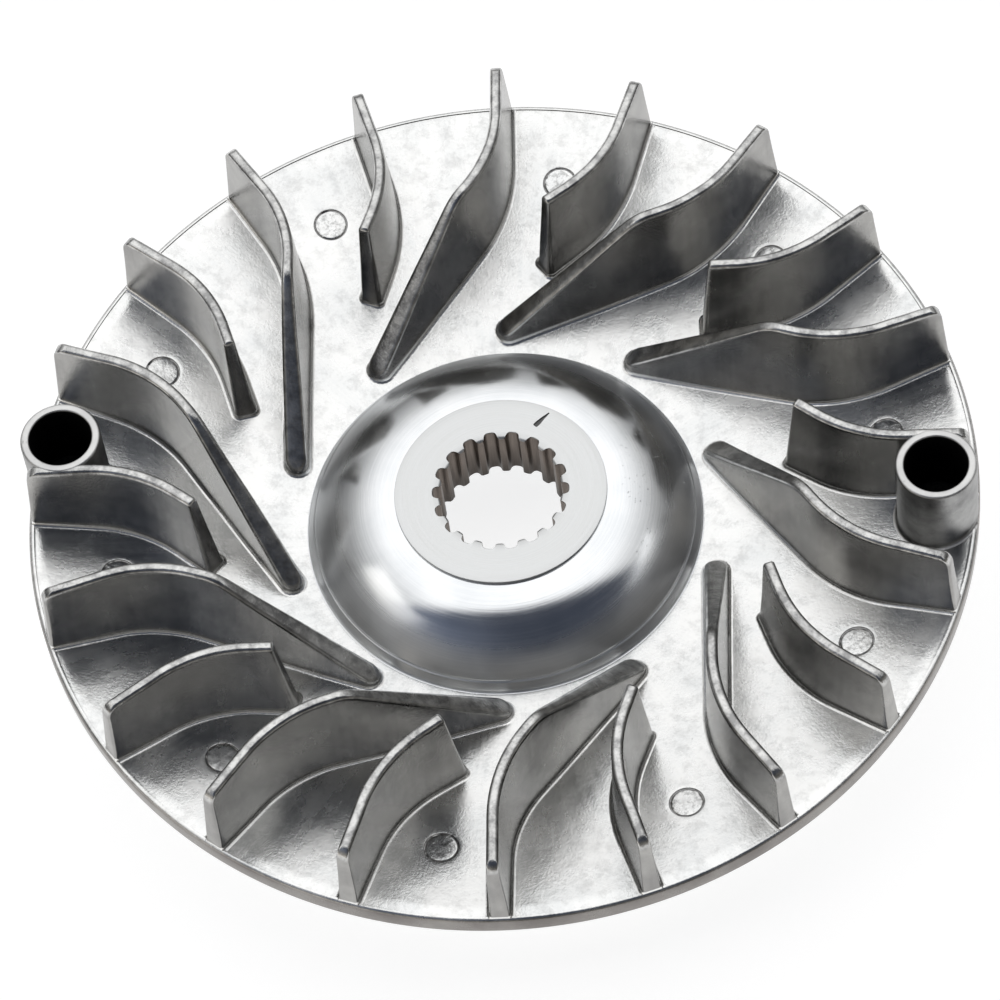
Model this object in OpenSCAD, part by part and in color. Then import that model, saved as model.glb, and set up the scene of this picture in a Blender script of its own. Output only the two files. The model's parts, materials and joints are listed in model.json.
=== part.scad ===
// Fixed drive face of a small belt-drive engine: a flywheel disc with a radial cooling fan.
// Z is the spin axis and the fan side is up. The X axis runs through the two holder sockets.
// The origin is on the spin axis, in the plane of the ring that the belt side rests on.

/* [Disc] */
// Outer diameter over the rim
outer_d = 125; // [104:1:150]
// Height of the rim's edge
rim_h = 3; // [2:0.1:6]
// Slope of the belt face, on the underside
belt_slope = 14; // [10:0.5:18]
// Slope of the web's fan side
fan_slope = 10; // [6:0.5:12]
// Chamfer on both edges of the rim
rim_chamfer = 0.4; // [0.2:0.1:0.8]

/* [Hub] */
// Diameter where the dome meets the web
dome_d = 52.6; // [48:0.2:64]
// Slope of the dome where it leaves the sleeve
dome_top_slope = 3; // [1:0.5:6]
// Slope of the dome where it meets the web
dome_foot_slope = 58; // [50:1:68]
// Depth of the recess in the belt side
recess_depth = 6.1; // [4:0.1:8]
// Diameter of the recess floor
recess_d = 35; // [32:0.5:38]
// Draft of the recess wall
recess_draft = 9; // [3:1:12]
// Width of the flat ring that the belt side rests on
rest_ring_w = 3; // [1.5:0.1:4]

/* [Splined sleeve] */
// Outer diameter of the steel sleeve, and of its washer seat
sleeve_d = 28; // [25:0.2:34]
// Length of the sleeve
sleeve_h = 8.5; // [7:0.1:11]
// Height of the washer seat above the dome round it
seat_step = 0.5; // [0.2:0.1:1]
// Number of splines
spline_count = 18; // [12:1:24]
// Diameter across the spline tips
spline_minor_d = 16; // [13:0.1:17]
// Diameter across the spline roots
spline_major_d = 18; // [17.4:0.1:19.5]
// Width of one spline groove at its root
groove_root_w = 1.45; // [1:0.05:1.8]
// Width of one spline groove at its mouth
groove_mouth_w = 1.9; // [1.4:0.05:2.1]
// Angle of the first spline groove from the X axis
spline_phase = 4.4; // [0:0.2:20]
// Chamfer on the spline tips at both ends of the bore
bore_chamfer = 0.25; // [0.1:0.05:0.6]
// Depth of the locking groove round the sleeve
lock_depth = 1; // [0.5:0.1:2]
// Height of the locking groove
lock_h = 2.5; // [1:0.1:4]
// Distance of the stamped index mark's broad end from the edge of the washer seat
index_inset = 3; // [2.6:0.1:3.8]
// Angle of that point from the X axis
index_angle = 69.4; // [0:0.2:360]
// Direction in which the index mark tapers away, from the X axis
index_heading = 49.8; // [0:0.2:360]
// Length of the index mark
index_l = 2.4; // [1:0.1:2.6]
// Width of the index mark at its broad end
index_w = 0.7; // [0.4:0.05:1]
// Depth of the index mark
index_depth = 0.2; // [0.1:0.05:0.4]

/* [Fan blades] */
// Number of long blades, and of short blades
blade_pairs = 10; // [6:2:12]
// Height of the long blades above the rim
long_rise = 11.75; // [8:0.25:15]
// Height of the short blades above the rim
short_rise = 11.25; // [8:0.25:15]
// Thickness of a blade at its top edge
blade_t = 1.5; // [1:0.1:2]
// Draft on each side of a blade
blade_draft = 2.7; // [1:0.1:3.5]
// Chamfer along the top edges of a blade
blade_chamfer = 0.3; // [0.1:0.05:0.4]
// Distance from the rim in to where a blade's radial line bends
bend_inset = 15.5; // [12:0.5:20]
// Radius of the bend in plan
bend_r = 20; // [12:1:26]
// How far round the hub the inner tip of a long blade is swept back
tip_sweep = 38; // [28:1:44]
// Gap from the dome's foot to the tip of a long blade
tip_gap = 2.6; // [2:0.1:6]
// Height of a long blade at its inner tip
tip_h = 0.9; // [0.4:0.1:3]
// Slope of a long blade's leading ridge
ridge_slope = 39; // [32:1:50]
// Length of a short blade past the bend
short_tail = 12; // [10:0.5:15]
// Lean of a short blade's inner edge from vertical
inner_lean = 6; // [2:1:10]
// How far the foot of the inner edge of a short blade stands out
toe_out = 0.8; // [0.3:0.1:1.5]
// Height of that foot above the web
toe_h = 2.6; // [1:0.1:5]
// Distance in from the rim to a blade's foot
foot_inset = 0.4; // [0.2:0.1:1]
// Distance in from the rim to a blade's top corner
top_inset = 1.3; // [0.8:0.1:2.5]

/* [Holder sockets] */
// Outer diameter of a socket boss
boss_d = 10.6; // [9:0.2:12.8]
// Diameter of the socket hole
socket_d = 8.2; // [6:0.1:8.4]
// Height of a boss above the rim
boss_rise = 11.25; // [8:0.25:15]
// Depth of the socket hole
socket_depth = 11; // [6:0.5:14]
// Gap from a boss to the rim's edge
boss_inset = 0.1; // [0.05:0.05:1]

/* [Ejector marks] */
// Diameter of an ejector pin's mark on the web
mark_d = 4.6; // [3:0.2:6]
// Depth of the marks
mark_depth = 0.15; // [0.05:0.05:0.4]
// Distance from the rim in to the circle of marks
mark_inset = 11.3; // [6:0.1:18]
// Angle of a mark from the short blade before it
mark_lead = 9.4; // [7:0.1:11]

/* [Hidden] */
LONG = [for (i = [1:blade_pairs]) str("long_blade_", i)];
SHORT = [for (i = [1:blade_pairs]) str("short_blade_", i)];
BOSSES = ["holder_boss_1", "holder_boss_2"];

$fn = 96;
bend_steps = 10;                          // flats round a blade's bend
nose_steps = 8;                           // flats round its inner tip
spare = 1;                                // how far a cutter runs past what it cuts
far = outer_d;                            // larger than any cut

outer_r = outer_d / 2;
dome_r = dome_d / 2;
sleeve_r = sleeve_d / 2;
recess_r = recess_d / 2;
recess_mouth_r = recess_r + recess_depth * tan(recess_draft);
belt_r = recess_mouth_r + rest_ring_w;    // where the belt cone starts
rim_top = belt_z(outer_r) + rim_h;
seat_z = recess_depth + sleeve_h;
shoulder_z = seat_z - seat_step;          // where the dome starts
lock_z = recess_depth + (sleeve_h - lock_h) / 2;

// The dome's section is one arc, from the sleeve's edge down to the web.
dome_turn = dome_foot_slope - dome_top_slope;
dome_foot_z = fan_z(dome_r);
dome_chord = norm([dome_r - sleeve_r, shoulder_z - dome_foot_z]);
dome_arc_r = dome_chord / (2 * sin(dome_turn / 2));
dome_chord_angle = atan2(shoulder_z - dome_foot_z, dome_r - sleeve_r);
dome_start = dome_chord_angle - dome_turn / 2;

pitch = 360 / blade_pairs;
socket_r = outer_r - boss_inset - boss_d / 2;
// A short blade's line runs into the side of a boss.
short_angle = asin((boss_d / 2 - blade_t / 3) / socket_r);
long_angle = short_angle + pitch / 2;

// A blade in plan: a radial line, a bend, and a line to the inner tip.
bend_y = outer_r - bend_inset;
tip_r = dome_r + tip_gap;
tip = [-tip_r * sin(tip_sweep), tip_r * cos(tip_sweep)];
bend = atan2(-tip[0], bend_y - tip[1]);
bend_tangent = bend_r * tan(bend / 2);
tip_run = norm([tip[0], bend_y - tip[1]]);
web_low = fan_z(dome_r) - spare;          // below every blade's foot

// Height of the belt face and of the web's fan side at radius r
function belt_z(r) = (r - belt_r) * tan(belt_slope);
function fan_z(r) = rim_top - (outer_r - r) * tan(fan_slope);
// Half of a blade's thickness at height z, for a blade with its top at height top
function half_t(z, top) = blade_t / 2 + (top - z) * tan(blade_draft);

// Everything under the web's fan side, for cutting the feet of what stands on it
module under_web() {
    in = dome_r / 2;
    rotate_extrude()
        polygon([[in, -far], [far, -far], [far, fan_z(far)], [in, fan_z(in)]]);
}

// ---- disc and hub ----

module belt_disc() {
    c = rim_chamfer;
    color([0.83, 0.84, 0.84])
        difference() {
            rotate_extrude()
                polygon([
                    [dome_r, belt_z(dome_r)],
                    [outer_r - c, belt_z(outer_r - c)],
                    [outer_r, belt_z(outer_r) + c],
                    [outer_r, rim_top - c],
                    [outer_r - c, fan_z(outer_r - c)],
                    [dome_r, fan_z(dome_r)]
                ]);
            for (i = [0:blade_pairs - 1])
                rotate(short_angle + mark_lead + i * pitch)
                    ejector_mark();
        }
}

// A shallow round pocket that lies square to the sloping web
module ejector_mark() {
    r = outer_r - mark_inset;
    translate([r, 0, fan_z(r)])
        rotate([0, -fan_slope, 0])
            translate([0, 0, -mark_depth])
                cylinder(h = mark_depth + spare, d = mark_d);
}

// Half of the hub's section below the dome's surface
module hub_blank() {
    polygon([
        [sleeve_r, recess_depth],
        [recess_r, recess_depth],
        [recess_mouth_r, 0],
        [belt_r, 0],
        [dome_r, belt_z(dome_r)],
        [dome_r, shoulder_z],
        [sleeve_r, shoulder_z]
    ]);
}

// The circle that rounds the dome, and all that lies under the start of its arc
module dome_round() {
    centre = [
        sleeve_r - dome_arc_r * sin(dome_start),
        shoulder_z - dome_arc_r * cos(dome_start)
    ];
    translate(centre)
        circle(r = dome_arc_r);
    polygon([
        [sleeve_r - spare, -spare],
        [dome_r + spare, -spare],
        [dome_r + spare, dome_foot_z],
        [dome_r, dome_foot_z],
        [sleeve_r, shoulder_z],
        [sleeve_r - spare, shoulder_z]
    ]);
}

module hub_dome() {
    color([0.76, 0.78, 0.8]) {
        rotate_extrude()
            intersection() {
                hub_blank();
                dome_round();
            }
        // the ring that fills the sleeve's locking groove
        rotate_extrude()
            translate([sleeve_r - lock_depth, lock_z])
                square([lock_depth, lock_h]);
    }
}

// One spline groove, from inside the tips out to the roots
module spline_groove() {
    root_r = spline_major_d / 2;
    tip_r = spline_minor_d / 2;
    translate([0, 0, recess_depth - spare])
        linear_extrude(sleeve_h + 2 * spare)
            polygon([
                [tip_r - spare, -groove_mouth_w / 2],
                [tip_r, -groove_mouth_w / 2],
                [root_r, -groove_root_w / 2],
                [root_r, groove_root_w / 2],
                [tip_r, groove_mouth_w / 2],
                [tip_r - spare, groove_mouth_w / 2]
            ]);
}

// The cone that chamfers the spline tips at one end of the bore
module bore_mouth() {
    r = spline_minor_d / 2;
    c = bore_chamfer;
    cylinder(h = c + spare, r1 = r, r2 = r + c + spare);
}

// The stamped index mark, a stroke that tapers from its broad end
module index_mark() {
    w = index_w / 2;
    r = sleeve_r - index_inset;
    translate([r * cos(index_angle), r * sin(index_angle), seat_z - index_depth])
        rotate(index_heading)
            linear_extrude(index_depth + spare)
                polygon([
                    [-w, -w / 2], [-w / 2, -w], [w, -w], [index_l, -w / 4],
                    [index_l, w / 4], [w, w], [-w / 2, w], [-w, w / 2]
                ]);
}

module spline_sleeve() {
    color([0.6, 0.59, 0.57])
        difference() {
            translate([0, 0, recess_depth])
                cylinder(h = sleeve_h, r = sleeve_r);
            translate([0, 0, recess_depth - spare])
                cylinder(h = sleeve_h + 2 * spare, d = spline_minor_d);
            for (i = [0:spline_count - 1])
                rotate(spline_phase + i * 360 / spline_count)
                    spline_groove();
            translate([0, 0, seat_z - bore_chamfer])
                bore_mouth();
            translate([0, 0, recess_depth + bore_chamfer])
                mirror([0, 0, 1])
                    bore_mouth();
            index_mark();
            rotate_extrude()
                translate([sleeve_r - lock_depth, lock_z])
                    square([lock_depth + spare, lock_h]);
        }
}

// ---- fan blades ----

// A blade's centre line as [x, y, turn] from the rim inwards, for a tail of the given length
// past the bend. The line heads along -Y and turns towards -X.
function blade_line(tail) = concat(
    [[0, outer_r + spare, 0]],
    [for (k = [0:bend_steps])
        let (a = bend * k / bend_steps)
        [bend_r * (cos(a) - 1), bend_y + bend_tangent - bend_r * sin(a), a]],
    [[-tail * sin(bend), bend_y - tail * cos(bend), bend]]
);

// The point at distance w beside a point of that line, on the side that faces away from the bend
function beside(p, w) = [p[0] + w * cos(p[2]), p[1] - w * sin(p[2])];

// The closed outline at distance w round the line, with a round nose at the inner end
function blade_outline(line, w) =
    let (last = len(line) - 1, end = line[last])
    concat(
        [for (p = line) beside(p, w)],
        [for (k = [1:nose_steps - 1])
            beside([end[0], end[1], end[2] + 180 * k / nose_steps], w)],
        [for (k = [last:-1:0]) beside(line[k], -w)]
    );

// Faces that fill an outline of n points: strips between its two sides, then the nose
function blade_cap(side, n) = concat(
    [for (k = [0:side - 2]) [k, k + 1, n - 2 - k, n - 1 - k]],
    [[for (k = [side - 1:n - side]) k]]
);

// The whole swept blade, drafted and with its top edges cut, before it meets the web
module blade_blank(tail, top) {
    line = blade_line(tail);
    edge_z = top - blade_chamfer;
    edge_w = half_t(edge_z, top);
    levels = [
        [web_low, half_t(web_low, top)],
        [edge_z, edge_w],
        [top, edge_w - blade_chamfer]
    ];
    loops = [for (v = levels) [for (p = blade_outline(line, v[1])) [p[0], p[1], v[0]]]];
    n = len(loops[0]);
    polyhedron(
        points = concat(loops[0], loops[1], loops[2]),
        faces = concat(
            [for (f = blade_cap(len(line), n)) [for (k = [len(f) - 1:-1:0]) f[k]]],
            [for (f = blade_cap(len(line), n)) [for (k = f) 2 * n + k]],
            [for (v = [0, n], k = [0:n - 1])
                let (next = (k + 1) % n)
                [v + k, v + next, v + n + next, v + n + k]]
        )
    );
}

// The space that holds the blades: the rim side leans in, with a cut corner at the top
module fan_space(top) {
    c = blade_chamfer * 2;
    foot_r = outer_r - foot_inset;
    top_r = outer_r - top_inset;
    rotate_extrude()
        polygon([
            [0, -spare],
            [foot_r, -spare],
            [foot_r, rim_top],
            [top_r, top - c],
            [top_r - c, top],
            [0, top]
        ]);
}

// A blade cut to its place on the web, at the given angle round the hub
module placed_blade(angle, tail, top) {
    rotate(angle - 90)
        difference() {
            intersection() {
                blade_blank(tail, top);
                fan_space(top);
            }
            under_web();
            children();
        }
}

// Places its children at the bend, with -Y along the inner line
module along_tail() {
    translate([0, bend_y, 0])
        rotate(-bend)
            children();
}

// What a long blade's leading ridge leaves above it
module above_ridge() {
    tip_z = fan_z(tip_r) + tip_h;
    along_tail()
        translate([0, -tip_run, tip_z])
            rotate([ridge_slope, 0, 0])
                translate([-far / 2, -far / 2, 0])
                    cube([far, far * 1.5, far]);
}

// What a short blade's inner edge leaves in front of it, down to the toe
module past_inner_edge() {
    toe_z = fan_z(bend_y - short_tail) + toe_h;
    along_tail()
        translate([-far / 2, -short_tail + toe_out, toe_z])
            rotate([-inner_lean, 0, 0])
                translate([0, -far, 0])
                    cube([far, far, far]);
}

module long_blade(i) {
    top = rim_top + long_rise;
    nose_r = half_t(fan_z(tip_r), top);
    color([0.7, 0.71, 0.72])
        placed_blade(long_angle + (i - 1) * pitch, tip_run - nose_r, top)
            above_ridge();
}

module short_blade(i) {
    top = rim_top + short_rise;
    color([0.7, 0.71, 0.72])
        difference() {
            placed_blade(short_angle + (i - 1) * pitch, short_tail, top)
                past_inner_edge();
            for (side = [0, 180])
                rotate(side)
                    translate([socket_r, 0, -spare])
                        cylinder(h = far, d = boss_d);
        }
}

// ---- holder sockets ----

module holder_boss(i) {
    color([0.8, 0.81, 0.81])
        rotate((i - 1) * 180)
            difference() {
                translate([socket_r, 0, 0])
                    difference() {
                        cylinder(h = rim_top + boss_rise, d = boss_d);
                        translate([0, 0, rim_top + boss_rise - socket_depth])
                            cylinder(h = far, d = socket_d);
                    }
                under_web();
            }
}

// ---- what is drawn ----

belt_disc();
hub_dome();
spline_sleeve();
for (i = [1:blade_pairs]) {
    long_blade(i);
    short_blade(i);
}
for (i = [1:2])
    holder_boss(i);
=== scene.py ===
# The looks of the fixed drive face: a die-cast aluminium disc with fan blades, two holder
# sockets, a turned hub dome and a splined steel sleeve. Sizes here are in millimetres, in the
# CAD model's frame, and become metres when a mesh is made.
import json
import math

import bmesh
import bpy
from mathutils import Matrix, Vector, noise


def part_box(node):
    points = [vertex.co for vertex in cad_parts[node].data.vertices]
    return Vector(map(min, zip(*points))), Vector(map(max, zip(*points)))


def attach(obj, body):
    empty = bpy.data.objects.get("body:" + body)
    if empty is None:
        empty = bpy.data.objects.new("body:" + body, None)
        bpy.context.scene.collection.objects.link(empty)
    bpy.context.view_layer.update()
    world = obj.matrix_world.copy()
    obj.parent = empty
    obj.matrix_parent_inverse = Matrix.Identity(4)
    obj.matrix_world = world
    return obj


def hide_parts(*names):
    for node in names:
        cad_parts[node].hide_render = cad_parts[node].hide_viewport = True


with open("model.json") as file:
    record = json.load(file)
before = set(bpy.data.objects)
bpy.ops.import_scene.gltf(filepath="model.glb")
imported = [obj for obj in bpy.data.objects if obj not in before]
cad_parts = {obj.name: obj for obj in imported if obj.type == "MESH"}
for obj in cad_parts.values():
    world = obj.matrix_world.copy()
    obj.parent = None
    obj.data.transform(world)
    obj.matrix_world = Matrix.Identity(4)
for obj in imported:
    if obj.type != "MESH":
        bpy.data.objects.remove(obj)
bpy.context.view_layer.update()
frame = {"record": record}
record = frame["record"]

MM = 0.001

# ---- sizes from the frame ----

mounts = {m["name"]: m for m in record["mounts"]}


def box_mm(node):
    """Lowest and highest corner of a CAD node, in millimetres."""
    low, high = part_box(node)
    return low / MM, high / MM


disc_high = box_mm("belt_disc")[1]
dome_high = box_mm("hub_dome")[1]
sleeve_low, sleeve_high = box_mm("spline_sleeve")
outer_r = disc_high.x
rim_top = disc_high.z
dome_r = dome_high.x
sleeve_r = sleeve_high.x
shoulder_z = dome_high.z
seat_z = sleeve_high.z
floor_z = sleeve_low.z                      # the floor of the belt-side recess
long_top = box_mm("long_blade_1")[1].z
short_top = box_mm("short_blade_2")[1].z
boss_low, boss_high = box_mm("holder_boss_1")
boss_r = (boss_high.y - boss_low.y) / 2
boss_top = boss_high.z
socket = mounts["holder_socket_1"]
socket_x = socket["pos_m"][0] / MM
socket_r = socket["dims"]["r_mm"]
socket_floor = boss_top - socket["dims"]["length_mm"]
spline_tip_r = mounts["spline_bore"]["dims"]["r_mm"]

# ---- sizes that the frame doesn't give, as in the CAD source ----

FAN_SLOPE = math.radians(10)
BELT_SLOPE = math.radians(14)
RECESS_R = 17.5
RECESS_DRAFT = math.radians(9)
REST_RING_W = 3
DOME_TOP_SLOPE = math.radians(3)
DOME_FOOT_SLOPE = math.radians(58)
SPLINES = 18
SPLINE_ROOT_R = 9
GROOVE_ROOT_W = 1.45
GROOVE_MOUTH_W = 1.9
SPLINE_PHASE = math.radians(4.4)
BORE_CHAMFER = 0.25
INDEX_R = 11                                # where the index mark lies on the washer seat
INDEX_ANGLE = math.radians(69.4)
INDEX_HEADING = math.radians(49.8)
INDEX_L = 2.4
INDEX_W = 0.7
INDEX_DEPTH = 0.2
LOCK_DEPTH = 1
LOCK_H = 2.5
BLADE_PAIRS = 10
BLADE_T = 1.5
BLADE_DRAFT = math.tan(math.radians(2.7))
BEND_INSET = 15.5
BEND_R = 20
TIP_SWEEP = math.radians(38)
TIP_GAP = 2.6
TIP_H = 0.9
RIDGE_SLOPE = math.tan(math.radians(39))
SHORT_TAIL = 12
INNER_LEAN = math.tan(math.radians(6))
TOE_OUT = 0.8
TOE_H = 2.6
FOOT_INSET = 0.4
TOP_INSET = 1.3
MARK_R = 2.3
MARK_INSET = 11.3
MARK_LEAD = math.radians(9.4)

recess_mouth_r = RECESS_R + floor_z * math.tan(RECESS_DRAFT)
belt_r = recess_mouth_r + REST_RING_W
lock_z = floor_z + (seat_z - floor_z - LOCK_H) / 2
mark_centre_r = outer_r - MARK_INSET
pitch = 2 * math.pi / BLADE_PAIRS
short_angle = math.asin((boss_r - BLADE_T / 3) / socket_x)
long_angle = short_angle + pitch / 2
mark_angle = short_angle + MARK_LEAD

# ---- finishing sizes, which only the looks use ----

FOOT_FILLET = 0.55                          # where a blade or a boss meets the web
EDGE_ROUND = 0.62                           # along the top edges of the blades
CORNER_ROUND = 1.8                          # the outer top corner of a blade
INNER_ROUND = 0.6                           # the inner top corner of a short blade
SUNK = 0.08                                 # how far a foot runs into the web
TOE_REACH = 0.1                             # the little step at a short blade's inner foot
TOE_ROUND = 1.1                             # the height that it fades out over
TOE_FLARE = 0.7                             # the share of the foot's fillet that it keeps
RIDGE_BLEND = 1.2                           # where a long blade's ridge leaves its level top
CAST_RIPPLE = 0.05                          # unevenness of the cast edges
CAST_SWELL = 0.06                           # unevenness of the blades' walls
SWELL_SIZE = 0.12                           # waves of it in a millimetre
RIM_ROUND = 0.6                             # along the rim's edges
RIM_STEP = (0.75, 0.05), (0.98, 0.05), (1.1, 0)   # a low step round the web: way in, and drop
LEDGE_W = 1.1                               # from the dome's foot in to the turned line round it
LEDGE_GROOVE = 0.16                         # half width of that line
FOOT_GROOVE = (0.26, 0.3), (0.24, 0.12), (0.12, 0.04), (0, 0.04)   # in from the dome's foot, and up
SPLINE_ROUND = 0.34                         # the splines' corners
GROOVE_ROUND = 0.62                         # the corners at the bottom of the grooves
TIP_EDGE = 0.08                             # the break at each end of the bore
SEAT_EDGE = 0.12                            # the break round the washer seat
MOUTH_OUT = 0.4                             # roundings at a boss's mouth, outside and inside
MOUTH_IN = 0.3
FLOOR_ROUND = 0.4                           # round a socket's floor
BOSS_SUNK = 0.6                             # how far a boss runs into the web
BOSS_INSET = 0.12                           # its fillet stays this far in from the rim
SHARP_EDGE = math.radians(38)


def web_z(r):
    """Height of the web's fan side at radius r."""
    return rim_top - (outer_r - r) * math.tan(FAN_SLOPE)


def belt_z(r):
    """Height of the belt face at radius r."""
    return (r - belt_r) * math.tan(BELT_SLOPE)


def lerp(a, b, t):
    return a + (b - a) * t


def smooth(t):
    t = min(1, max(0, t))
    return t * t * (3 - 2 * t)


def quarter(steps):
    """Angles from 0 to a right angle in that many steps."""
    return [k / steps * math.pi / 2 for k in range(steps + 1)]


def ring_angles(steps, start=0.0):
    return [start + 2 * math.pi * k / steps for k in range(steps)]


def held_in(x, y, limit):
    """The point, moved in to the limit if it lies farther from the spin axis."""
    r = math.hypot(x, y)
    return (x * limit / r, y * limit / r) if r > limit else (x, y)


# ---- mesh making ----


def make_piece(name, points, faces):
    """A mesh object from points in millimetres."""
    mesh = bpy.data.meshes.new(name)
    mesh.from_pydata([Vector(p) * MM for p in points], [], faces)
    bm = bmesh.new()
    bm.from_mesh(mesh)
    bmesh.ops.remove_doubles(bm, verts=bm.verts, dist=1e-7)
    bmesh.ops.recalc_face_normals(bm, faces=bm.faces)
    bm.to_mesh(mesh)
    bm.free()
    shade(mesh)
    piece = bpy.data.objects.new(name, mesh)
    bpy.context.scene.collection.objects.link(piece)
    return piece


def shade(mesh):
    """Smooth shading, but for the edges that turn by more than SHARP_EDGE."""
    mesh.shade_smooth()
    mesh.set_sharp_from_angle(angle=SHARP_EDGE)


def loft(loops, closed=False):
    """Points and faces of a skin over loops of equal length; closed joins the last to the first."""
    n = len(loops[0])
    points = [p for loop in loops for p in loop]
    last = len(loops) if closed else len(loops) - 1
    faces = []
    for k in range(last):
        a, b = k * n, (k + 1) % len(loops) * n
        faces += [(a + i, a + (i + 1) % n, b + (i + 1) % n, b + i) for i in range(n)]
    return points, faces


def strip_cap(first, n):
    """Faces that fill a loop of n points, which mirrors itself about its middle line."""
    return [
        (first + i, first + i + 1, first + n - 2 - i, first + n - 1 - i)
        for i in range(n // 2 - 1)
    ]


def rounded(corners, steps=5):
    """A closed outline through corners (x, y, radius), each turned into an arc."""
    outline = []
    for i, (x, y, radius) in enumerate(corners):
        here = Vector((x, y))
        if not radius:
            outline.append(here)
            continue
        back = (Vector(corners[i - 1][:2]) - here).normalized()
        ahead = (Vector(corners[(i + 1) % len(corners)][:2]) - here).normalized()
        half = back.angle(ahead) / 2
        centre = here + (back + ahead).normalized() * radius / math.sin(half)
        start = here + back * radius / math.tan(half) - centre
        turn = math.pi - 2 * half
        if start.cross(ahead) < 0:
            turn = -turn
        for k in range(steps + 1):
            a = turn * k / steps
            ca, sa = math.cos(a), math.sin(a)
            spin = Vector((start.x * ca - start.y * sa, start.x * sa + start.y * ca))
            outline.append(centre + spin)
    return outline


def revolved(profile, angles):
    """Loops of the closed section profile (r, z) turned round the Z axis."""
    return [[(r * math.cos(a), r * math.sin(a), z) for a in angles] for r, z in profile]


# ---- materials ----


class Nodes:
    """A short way to write a node tree, with the coordinates that it starts from."""

    def __init__(self, owner, coordinates):
        owner.use_nodes = True
        self.tree = owner.node_tree
        self.place = self.add("ShaderNodeTexCoord").outputs[coordinates]

    def add(self, kind, **values):
        node = self.tree.nodes.new(kind)
        for key, value in values.items():
            setattr(node, key, value)
        return node

    def link(self, source, target):
        self.tree.links.new(source, target)

    def math(self, operation, a, b=None):
        node = self.add("ShaderNodeMath", operation=operation)
        for socket_in, value in zip(node.inputs, (a, b)):
            if value is None:
                continue
            if isinstance(value, (int, float)):
                socket_in.default_value = value
            else:
                self.link(value, socket_in)
        return node.outputs[0]

    def ramp(self, factor, stops):
        node = self.add("ShaderNodeValToRGB")
        ramp = node.color_ramp
        while len(ramp.elements) < len(stops):
            ramp.elements.new(0.5)
        for element, (place, colour) in zip(ramp.elements, stops):
            element.position = place
            value = colour if isinstance(colour, tuple) else (colour,) * 3
            element.color = (*value, 1)
        self.link(factor, node.inputs["Fac"])
        return node.outputs["Color"]

    def mix(self, factor, a, b, blend="MIX"):
        node = self.add("ShaderNodeMix", data_type="RGBA", blend_type=blend)
        colours = (node.inputs[6], node.inputs[7])
        for socket_in, value in zip((node.inputs[0], *colours), (factor, a, b)):
            if isinstance(value, (int, float)) and socket_in.type == "RGBA":
                socket_in.default_value = (value, value, value, 1)
            elif isinstance(value, (int, float)):
                socket_in.default_value = value
            elif isinstance(value, tuple):
                socket_in.default_value = (*value, 1)
            else:
                self.link(value, socket_in)
        return node.outputs[2]

    def towards(self, direction):
        """How far the place lies in that direction."""
        node = self.add("ShaderNodeVectorMath", operation="DOT_PRODUCT")
        node.inputs[1].default_value = direction
        self.link(self.place, node.inputs[0])
        return node.outputs["Value"]

    def xyz(self, vector=None):
        """The three parts of a vector, or of the place."""
        parts = self.add("ShaderNodeSeparateXYZ")
        self.link(vector or self.place, parts.inputs[0])
        return parts.outputs


class Skin(Nodes):
    """A material, in the frame of the piece that wears it."""

    def __init__(self, name):
        self.material = bpy.data.materials.new(name)
        super().__init__(self.material, "Object")
        self.shader = self.tree.nodes["Principled BSDF"]

    def noise(self, size_mm, detail=3, roughness=0.5, place=None, stretch=(1, 1, 1)):
        """Noise with grains of about that size."""
        scaled = self.add("ShaderNodeMapping")
        scaled.inputs["Scale"].default_value = [s / (size_mm * MM) for s in stretch]
        self.link(place or self.place, scaled.inputs["Vector"])
        node = self.add("ShaderNodeTexNoise")
        node.inputs["Scale"].default_value = 1
        node.inputs["Detail"].default_value = detail
        node.inputs["Roughness"].default_value = roughness
        self.link(scaled.outputs[0], node.inputs["Vector"])
        return node.outputs["Fac"]

    def radius(self):
        """Distance from the spin axis, in metres."""
        flat = self.add("ShaderNodeVectorMath", operation="MULTIPLY")
        flat.inputs[1].default_value = (1, 1, 0)
        self.link(self.place, flat.inputs[0])
        length = self.add("ShaderNodeVectorMath", operation="LENGTH")
        self.link(flat.outputs[0], length.inputs[0])
        return length.outputs["Value"]

    def polar(self):
        """Coordinates (radius, height, arc length at a 50 mm radius), in metres."""
        x, y, z = self.xyz()
        angle = self.math("ARCTAN2", y, x)
        joined = self.add("ShaderNodeCombineXYZ")
        self.link(self.radius(), joined.inputs[0])
        self.link(z, joined.inputs[1])
        self.link(self.math("MULTIPLY", angle, 50 * MM), joined.inputs[2])
        return joined.outputs[0]

    def above_web(self):
        """Height above the web's fan side, in millimetres."""
        fall = self.math("SUBTRACT", outer_r * MM, self.radius())
        drop = self.math("MULTIPLY", fall, math.tan(FAN_SLOPE))
        web = self.math("SUBTRACT", rim_top * MM, drop)
        return self.math("DIVIDE", self.math("SUBTRACT", self.xyz()[2], web), MM)

    def upward(self, low, high):
        """0 where the surface is steep, 1 where it is flat, by the size of its normal's Z."""
        normal = self.add("ShaderNodeNewGeometry").outputs["Normal"]
        level = self.math("ABSOLUTE", self.xyz(normal)[2])
        return self.ramp(level, [(low, 0.0), (high, 1.0)])

    def bump(self, height, depth_mm, strength=1.0, after=None):
        node = self.add("ShaderNodeBump")
        node.inputs["Strength"].default_value = strength
        node.inputs["Distance"].default_value = depth_mm * MM
        self.link(height, node.inputs["Height"])
        if after is not None:
            self.link(after, node.inputs["Normal"])
        return node.outputs["Normal"]

    def finish(self, colour, roughness, normal):
        self.shader.inputs["Metallic"].default_value = 1
        self.link(colour, self.shader.inputs["Base Color"])
        self.link(roughness, self.shader.inputs["Roughness"])
        self.link(normal, self.shader.inputs["Normal"])
        return self.material


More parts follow.
